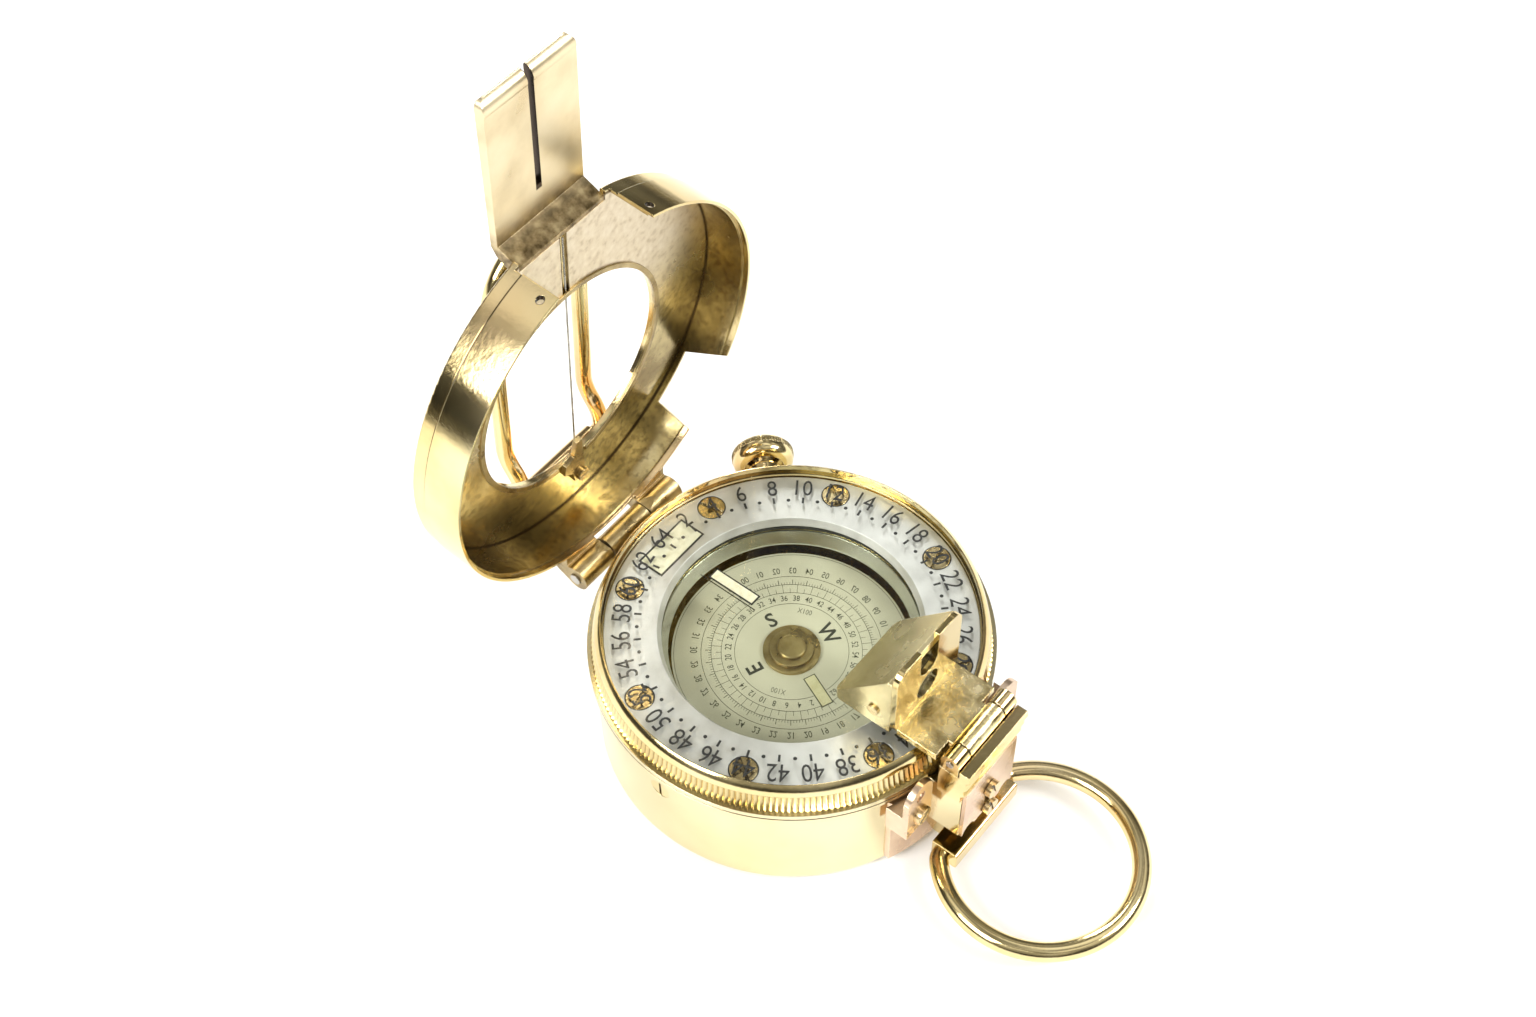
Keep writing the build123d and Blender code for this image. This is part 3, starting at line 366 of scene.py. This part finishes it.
def glass(name, tint):
    """Thin clear glass: see-through with a Fresnel sheen, so nothing under it shifts."""
    mat, nt = new_material(name)
    nt.nodes.remove(nt.nodes["Principled BSDF"])
    clear = nt.nodes.new("ShaderNodeBsdfTransparent")
    shine = nt.nodes.new("ShaderNodeBsdfGlossy")
    shine.inputs["Roughness"].default_value = GLASS_GLOSS
    fresnel = nt.nodes.new("ShaderNodeFresnel")
    fresnel.inputs["IOR"].default_value = GLASS_IOR
    smear = noise_of(nt, object_coord(nt), 60.0, 6.0)
    lighter = tuple(min(1, c * 1.02) for c in tint)
    nt.links.new(ramp_of(nt, smear, [(0.35, tint), (0.75, lighter)]), clear.inputs["Color"])
    front_only = span(nt, nt.nodes.new("ShaderNodeNewGeometry").outputs["Backfacing"], 1.0, 0.0)
    mix = nt.nodes.new("ShaderNodeMixShader")
    nt.links.new(product(nt, fresnel.outputs["Fac"], front_only), mix.inputs["Fac"])
    nt.links.new(clear.outputs["BSDF"], mix.inputs[1])
    nt.links.new(shine.outputs["BSDF"], mix.inputs[2])
    nt.links.new(mix.outputs["Shader"], nt.nodes["Material Output"].inputs["Surface"])
    return mat


POLISHED = dict(dark=(0.62, 0.47, 0.20), mid=(0.80, 0.66, 0.34), light=(0.88, 0.76, 0.47),
                rough=(0.07, 0.20), scale=70, bump=0.05)
BRASS = metal("brass_polished", tint=(0.80, 0.55, 0.28), **POLISHED)
BRASS_LID = metal("brass_lid", tint=(0.80, 0.58, 0.32), cup=True, **POLISHED)
BRASS_WALL = metal("brass_case_wall", (0.72, 0.60, 0.33), (0.80, 0.70, 0.43), (0.85, 0.76, 0.50),
                   rough=(0.10, 0.22), scale=45, bump=0.05)
BRASS_AGED = metal("brass_aged", (0.20, 0.14, 0.06), (0.43, 0.33, 0.16), (0.64, 0.52, 0.29),
                   rough=(0.22, 0.42), scale=260, bump=0.22, fine=2600)
BRASS_GOLD = metal("brass_gold", (0.58, 0.45, 0.20), (0.78, 0.65, 0.35), (0.90, 0.79, 0.50),
                   rough=(0.16, 0.34), scale=420, bump=0.20, fine=3000)
BRASS_SATIN = metal("brass_satin", (0.60, 0.48, 0.28), (0.78, 0.66, 0.43), (0.86, 0.76, 0.54),
                    rough=(0.26, 0.42), scale=120, bump=0.06, fine=2200, crank=True)
BRASS_SCREW = metal("brass_screws", (0.50, 0.36, 0.16), (0.70, 0.54, 0.28), (0.84, 0.70, 0.42),
                    rough=(0.16, 0.34), scale=320, bump=0.12, crevice_shade=(0.05, 0.035, 0.02))
BRASS_PINK = metal("gilding_metal", (0.56, 0.38, 0.25), (0.73, 0.54, 0.38), (0.85, 0.69, 0.52),
                   rough=(0.22, 0.36), scale=160, bump=0.08, crevice_shade=(0.10, 0.05, 0.03))
BRASS_HOOD = metal("brass_hood", (0.62, 0.50, 0.24), (0.84, 0.72, 0.42), (0.92, 0.82, 0.54),
                   rough=(0.24, 0.32), scale=90, bump=0.03)
BRASS_KNURL = metal("brass_knurl", (0.58, 0.44, 0.19), (0.76, 0.62, 0.32), (0.86, 0.74, 0.45),
                    rough=(0.16, 0.28), scale=90, bump=0.04, crevice_shade=(0.10, 0.065, 0.025),
                    reach=0.4 * MM, edge=0.05 * MM)
STEEL = metal("steel_pin", (0.32, 0.30, 0.27), (0.48, 0.46, 0.42), (0.64, 0.62, 0.58),
              rough=(0.2, 0.4), scale=300, bump=0.10)
SILVER = metal("silvered_dial", (0.66, 0.65, 0.62), (0.78, 0.77, 0.74), (0.87, 0.86, 0.84),
               rough=(0.50, 0.60), scale=260, bump=0.10, fine=2400, crevice_shade=(0.10, 0.09, 0.07))
SILVER_BRIGHT = metal("silver_bright", (0.60, 0.61, 0.61), (0.74, 0.75, 0.74), (0.84, 0.85, 0.84),
                      rough=(0.14, 0.24), scale=200, bump=0.04)
INK_AND_SHADE = plain("dial_ink_and_shade", (0.012, 0.012, 0.012), (0.035, 0.032, 0.030), 0.5, scale=2000)
CARD_INK = plain("card_ink", (0.07, 0.07, 0.06), (0.12, 0.12, 0.10), 0.6, scale=2000)
CARD_BOLD = plain("card_letter_ink", (0.03, 0.03, 0.03), (0.06, 0.06, 0.055), 0.6, scale=2000)
LUME = plain("luminous_paint", (0.74, 0.69, 0.47), (0.86, 0.82, 0.62), 0.6, scale=1200, bump=0.10, glow=0.02)
CARD = plain("card_pearl", (0.65, 0.63, 0.57), (0.77, 0.75, 0.69), 0.35, scale=120, bump=0.02, coat=0.2)
RUBBER = plain("gasket_rubber", (0.015, 0.015, 0.015), (0.04, 0.04, 0.04), 0.7)
JEWEL = plain("jewel_stone", (0.25, 0.02, 0.04), (0.40, 0.05, 0.08), 0.12, coat=0.5)
GLASS_TOP = glass("bezel_glass_clear", (0.97, 0.98, 0.97))
GLASS_LOW = glass("capsule_glass_tinted", (0.94, 0.94, 0.88))
PRISM_GLASS = glass("prism_glass_clear", (0.80, 0.82, 0.78))


# --------------------------------------------------- finish of each CAD node
FINISHES = {
    BRASS: ("case_base", "filler_plug", "clamp_boss", "ring_bar", "bezel_ring", "glass_retainer",
            "clamp_knob", "clamp_pad", "bail_tube", "lid_bail", "focus_slide", "eye_plate", "finger_ring"),
    BRASS_LID: ("lid_shell",),
    BRASS_WALL: ("case_body", "guide_block"),
    BRASS_AGED: ("expansion_diaphragm", "case_knuckle", "card_hub", "window_rim", "lid_knuckles",
                 "wire_anchor"),
    BRASS_GOLD: ("capsule_bowl", "prism_leaf"),
    BRASS_SATIN: ("sight_tongue",),
    BRASS_SCREW: ("ring_screws", "ear_screws", "slide_screws", "wire_screw", "housing_screws"),
    BRASS_PINK: ("saddle", "ear_brackets", "slide_plate"),
    BRASS_HOOD: ("prism_housing",),
    BRASS_KNURL: ("bezel_knurl",),
    STEEL: ("pivot_post", "hinge_pin", "bezel_spring_ring", "bar_magnets", "clamp_shank",
            "sighting_wire", "prism_pin"),
    SILVER: ("silvered_ring",),
    SILVER_BRIGHT: ("capsule_inner_ring",),
    RUBBER: ("capsule_gasket",),
    LUME: ("luminous_patch", "bezel_luminous_strip", "card_pointer"),
    CARD: ("compass_card",),
    JEWEL: ("jewel_bearing",),
    GLASS_TOP: ("bezel_glass",),
    GLASS_LOW: ("capsule_glass",),
    PRISM_GLASS: ("prism_glass", "eye_lens"),
}


def set_slots(obj, mat):
    for slot in obj.material_slots:
        slot.material = mat
    if not obj.material_slots:
        obj.data.materials.append(mat)


for finish, names in FINISHES.items():
    for node_name in names:
        set_slots(nodes[node_name], finish)


# ------------------------------------------------------------ print on dials
PRINT_THICK = 0.02


def text_mesh(body, size, thin=0.0, squeeze=0.78):
    """Flat text centred on the origin, as mesh points and faces."""
    curve = bpy.data.curves.new("print_tmp", "FONT")
    curve.body = body
    curve.align_x = "CENTER"
    curve.align_y = "CENTER"
    curve.size = size
    curve.offset = thin
    curve.resolution_u = 3
    obj = bpy.data.objects.new("print_tmp", curve)
    bpy.context.scene.collection.objects.link(obj)
    dep = bpy.context.evaluated_depsgraph_get()
    mesh = bpy.data.meshes.new_from_object(obj.evaluated_get(dep))
    xs = [v.co.x for v in mesh.vertices]
    ys = [v.co.y for v in mesh.vertices]
    mid = Vector(((min(xs) + max(xs)) / 2, (min(ys) + max(ys)) / 2, 0))
    points = [((v.co - mid).x * squeeze, (v.co - mid).y) for v in mesh.vertices]
    faces = [tuple(p.vertices) for p in mesh.polygons]
    bpy.data.objects.remove(obj)
    bpy.data.curves.remove(curve)
    bpy.data.meshes.remove(mesh)
    return points, faces


def circle(radius, sides):
    """Points of a circle round the origin."""
    steps = [2 * math.pi * i / sides for i in range(sides)]
    return [(radius * math.cos(a), radius * math.sin(a)) for a in steps]


def rectangle(x0, y0, x1, y1):
    return [(x0, y0), (x1, y0), (x1, y1), (x0, y1)]


class Print:
    """Collects flat marks in one plane, in millimetres; azimuth runs clockwise from +Y."""

    def __init__(self):
        self.points = []
        self.faces = []

    def place(self, points, faces, r, az, mirror=False):
        """A mark moved out to distance r and turned to azimuth az."""
        a = math.radians(az)
        base = len(self.points)
        for x, y in points:
            px = -x if mirror else x
            py = y + r
            self.points.append((px * math.cos(a) + py * math.sin(a), -px * math.sin(a) + py * math.cos(a)))
        for face in faces:
            self.faces.append(tuple(base + i for i in (reversed(face) if mirror else face)))

    def text(self, body, size, r, az, mirror=False, **look):
        points, faces = text_mesh(body, size, **look)
        self.place(points, faces, r, az, mirror)

    def bar(self, r0, r1, width, az):
        half = (r1 - r0) / 2
        self.place(rectangle(-width / 2, -half, width / 2, half), [(0, 1, 2, 3)], (r0 + r1) / 2, az)

    def dot(self, r, radius, az, sides=14):
        self.place(circle(radius, sides), [tuple(range(sides))], r, az)

    def ring(self, radius, width, r=0.0, az=0.0, steps=240):
        """Circle of the given line width round a point at distance r."""
        points = []
        for inner, outer in zip(circle(radius - width / 2, steps), circle(radius + width / 2, steps)):
            points += [inner, outer]
        faces = []
        for i in range(steps):
            j = 2 * ((i + 1) % steps)
            faces.append((2 * i, 2 * i + 1, j + 1, j))
        self.place(points, faces, r, az)

    def outline(self, x0, y0, x1, y1, width, az=0.0):
        """Open rectangle of the given line width round a box."""
        for side in ((x0 - width, y0 - width, x0, y1 + width), (x1, y0 - width, x1 + width, y1 + width),
                     (x0, y0 - width, x1, y0), (x0, y1, x1, y1 + width)):
            self.place(rectangle(*side), [(0, 1, 2, 3)], 0.0, az)

    def make(self, name, z, mat, body):
        """The marks as one thin piece standing on height z, riding on a body."""
        mesh = bpy.data.meshes.new(name)
        mesh.from_pydata([(x * MM, y * MM, z * MM) for x, y in self.points], [], self.faces)
        bm = bmesh.new()
        bm.from_mesh(mesh)
        bmesh.ops.recalc_face_normals(bm, faces=bm.faces)
        for face in bm.faces:
            if face.normal.z < 0:
                face.normal_flip()
        grown = bmesh.ops.extrude_face_region(bm, geom=bm.faces[:])
        for v in grown["geom"]:
            if isinstance(v, bmesh.types.BMVert):
                v.co.z += PRINT_THICK * MM
        bmesh.ops.recalc_face_normals(bm, faces=bm.faces)
        bm.to_mesh(mesh)
        bm.free()
        obj = bpy.data.objects.new(name, mesh)
        bpy.context.scene.collection.objects.link(obj)
        mesh.materials.append(mat)
        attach(obj, body)


# bezel: even numbers up to 64, each with a tick, and a dot between, under its glass
DIVISIONS = 64
BEZEL_NUMBER_SIZE = 4.1
BEZEL_NUMBER_R = 25.0
BEZEL_TICK = (22.05, 23.15, 0.36)
BEZEL_FIGURE = dict(thin=0.002, squeeze=0.82)
BEZEL_DOT_R = 22.6
BEZEL_DOT = 0.29
BEZEL_PRINT_DROP = 0.03
STRIP_PRINT_DROP = 0.12
OUTLINE_GAP = 0.02
STRIP_OUTLINE = 0.26
PATCH_OUTLINE = 0.32
glass_under = box_mm("bezel_glass")[0].z

scale = Print()
for number in range(2, DIVISIONS + 1, 2):
    az = number * 360 / DIVISIONS
    scale.text(str(number), BEZEL_NUMBER_SIZE, BEZEL_NUMBER_R, az, **BEZEL_FIGURE)
    scale.bar(*BEZEL_TICK, az)
    scale.dot(BEZEL_DOT_R, BEZEL_DOT, az - 360 / DIVISIONS)
scale.make("bezel_scale_print", glass_under - BEZEL_PRINT_DROP, INK_AND_SHADE, "bezel")


def outline_of(node, width):
    """Outline round a flat CAD node that is square to the frame."""
    low, high = box_mm(node)
    marks = Print()
    marks.outline(low.x - OUTLINE_GAP, low.y - OUTLINE_GAP, high.x + OUTLINE_GAP, high.y + OUTLINE_GAP, width)
    return marks


strip_outline = outline_of("bezel_luminous_strip", STRIP_OUTLINE)
strip_outline.make("bezel_strip_outline", glass_under - STRIP_PRINT_DROP, INK_AND_SHADE, "bezel")

# case: outline of the index patch, painted shade rings in the gaps round the dial screws, lubber line
SCREW_COUNT = 8
SCREW_R = 24.9
SCREW_FIRST = 22.5
SCREW_GAP_SHADE = (2.1, 0.2)
SCREW_GAP_SHADE_DROP = 0.1
LUBBER = (6.9, 17.4, 0.18)
LUBBER_DROP = 0.04
dial_top = box_mm("silvered_ring")[1].z
patch_outline = outline_of("luminous_patch", PATCH_OUTLINE)
patch_outline.make("luminous_patch_outline", dial_top, INK_AND_SHADE, "case")

# painted shade: a dark ring in the gap between each dial screw head and its recess, made in the dial's ink
# material
screw_gap_shade = Print()
for k in range(SCREW_COUNT):
    screw_gap_shade.ring(*SCREW_GAP_SHADE, r=SCREW_R, az=SCREW_FIRST + k * 360 / SCREW_COUNT, steps=40)
screw_gap_shade.make("dial_screw_gap_shade", dial_top - SCREW_GAP_SHADE_DROP, INK_AND_SHADE, "case")

lubber = Print()
lubber.bar(*LUBBER, 0.0)
lubber.make("lubber_line", box_mm("capsule_glass")[0].z - LUBBER_DROP, INK_AND_SHADE, "case")

# card: outer mirrored figures read through the prism, inner figures read direct;
# a tick is (inner end, outer end, width), a figure is (text height, distance from the centre)
NORTH = 202.5
FINE_LINE = 0.07
INNER_RING = 8.5
TICK_RING = 10.5
DEGREE_RING = 12.0
OUTER_RING = 13.5
CARD_RIM = 17.55
DEGREE_TICK = (DEGREE_RING, 12.45, 0.06)
TEN_DEGREE_TICK = (DEGREE_RING, 12.9, 0.09)
SHORT_TICK = (TICK_RING, 11.3, 0.06)
LONG_TICK = (TICK_RING, DEGREE_RING, 0.06)
OUTER_FIGURES = 36
OUTER_FIGURE = (1.55, 14.6)
INNER_FIGURES = 32
INNER_FIGURE = (1.4, 9.5)
FACTOR_MARK = (1.3, 7.3)
CARD_LETTER = (3.5, 6.3)
POINTER_HALF = (0.82, 2.67)
POINTER_R = 7.95
POINTER_OUTLINE = 0.16
card_top = box_mm("compass_card")[1].z

fine = Print()
for r in (INNER_RING, TICK_RING, DEGREE_RING, OUTER_RING):
    fine.ring(r, FINE_LINE)
for degree in range(0, 360, 2):
    tick = DEGREE_TICK if degree % 10 else TEN_DEGREE_TICK
    fine.bar(*tick, NORTH + degree)
for k in range(DIVISIONS):
    tick = SHORT_TICK if k % 2 else LONG_TICK
    fine.bar(*tick, NORTH + k * 360 / DIVISIONS)
for k in range(OUTER_FIGURES):
    fine.text("%02d" % k, *OUTER_FIGURE, NORTH + 180 + k * 360 / OUTER_FIGURES, mirror=True, thin=0.004)
for k in range(INNER_FIGURES):
    fine.text(str(2 * k), *INNER_FIGURE, NORTH + k * 360 / INNER_FIGURES, thin=0.004)
for az in (45, 225):
    fine.text("X100", *FACTOR_MARK, NORTH + az, thin=-0.01)
fine.outline(-POINTER_HALF[0], POINTER_R - POINTER_HALF[1], POINTER_HALF[0], POINTER_R + POINTER_HALF[1],
             POINTER_OUTLINE, az=NORTH)
fine.ring(CARD_RIM, FINE_LINE)
fine.make("card_scale_print", card_top, CARD_INK, "card")

letters = Print()
for letter, az in (("E", 90), ("S", 180), ("W", 270)):
    letters.text(letter, *CARD_LETTER, NORTH + az, thin=0.06, squeeze=0.95)
letters.make("card_letters", card_top, CARD_BOLD, "card")

# ----------------------------------------------------------------- the floor
FLOOR_HALF = 3.0
FLOOR_DROP = 0.2 * MM
FLOOR_GLOW = 0.12
FAR_GLOW = 0.90
FAR_FROM = 0.12
FAR_TO = 0.80


def add_floor():
    """Pale floor; far from the part it brightens for the camera alone, so that no horizon shows."""
    mesh = bpy.data.meshes.new("floor")
    corners = rectangle(-FLOOR_HALF, -FLOOR_HALF, FLOOR_HALF, FLOOR_HALF)
    mesh.from_pydata([(x, y, 0) for x, y in corners], [], [(0, 1, 2, 3)])
    obj = bpy.data.objects.new("floor", mesh)
    obj.location.z = cad_low[2] - FLOOR_DROP
    bpy.context.scene.collection.objects.link(obj)
    mat, nt = new_material("floor_pale")
    bsdf = nt.nodes["Principled BSDF"]
    bsdf.inputs["Roughness"].default_value = 0.8
    coord = object_coord(nt)
    tone = ramp_of(nt, noise_of(nt, coord, 30.0, 2.0), [(0.3, (0.90, 0.90, 0.90)), (0.7, (0.92, 0.92, 0.92))])
    nt.links.new(tone, bsdf.inputs["Base Color"])
    nt.links.new(tone, bsdf.inputs["Emission Color"])
    away = vector_math(nt, "LENGTH", coord)["Value"]
    seen = nt.nodes.new("ShaderNodeLightPath").outputs["Is Camera Ray"]
    glow = nt.nodes.new("ShaderNodeMath")
    glow.operation = "MAXIMUM"
    nt.links.new(product(nt, seen, span(nt, away, FAR_FROM, FAR_TO, FLOOR_GLOW, FAR_GLOW)), glow.inputs[0])
    glow.inputs[1].default_value = FLOOR_GLOW
    nt.links.new(glow.outputs["Value"], bsdf.inputs["Emission Strength"])
    mesh.materials.append(mat)


add_floor()

# -------------------------------------------------------------------- lights
LIGHT_TARGET = Vector((0, 0, 0.03))


def area(name, place, size, power, length=None):
    """Area light aimed at the part; with a length it is a strip."""
    data = bpy.data.lights.new(name, "AREA")
    data.energy = power
    data.size = size
    if length:
        data.shape = "RECTANGLE"
        data.size_y = length
    obj = bpy.data.objects.new(name, data)
    bpy.context.scene.collection.objects.link(obj)
    obj.location = place
    obj.rotation_euler = (LIGHT_TARGET - Vector(place)).to_track_quat("-Z", "Y").to_euler()


def add_studio():
    """Room light: dark low down and pale overhead, in broad patches; the camera sees plain white."""
    world = bpy.data.worlds.new("studio")
    bpy.context.scene.world = world
    world.use_nodes = True
    nt = world.node_tree
    coord = nt.nodes.new("ShaderNodeTexCoord").outputs["Generated"]
    stops = [(0.0, (0.30, 0.28, 0.24))]
    for height, tone in ((0.10, 0.10), (0.35, 0.16), (0.55, 0.34), (0.80, 0.62)):
        stops.append((height, (tone, tone * 0.97, tone * 0.90)))
    stops.append((1.0, (0.80, 0.80, 0.80)))
    grade = ramp_of(nt, split_xyz(nt, coord)["Z"], stops)
    broad = noise_of(nt, coord, 2.6, 1.0)
    patches = ramp_of(nt, broad, [(0.42, (0.35, 0.35, 0.34)), (0.60, (1.5, 1.5, 1.5))])
    room = mix_colour(nt, 1.0, grade, patches, "MULTIPLY")
    seen = nt.nodes.new("ShaderNodeLightPath").outputs["Is Camera Ray"]
    background = nt.nodes["Background"]
    nt.links.new(mix_colour(nt, seen, room, (1.0, 1.0, 1.0)), background.inputs["Color"])
    background.inputs["Strength"].default_value = 1.0


area("key_left", (-0.60, 0.15, 0.55), 0.40, 6.6)
area("key_right", (0.30, -0.55, 0.60), 0.30, 5.0)
area("back_strip", (0.55, 0.55, 0.45), 0.12, 3.2, length=0.6)
add_studio()
bpy.context.scene.view_settings.view_transform = "Standard"
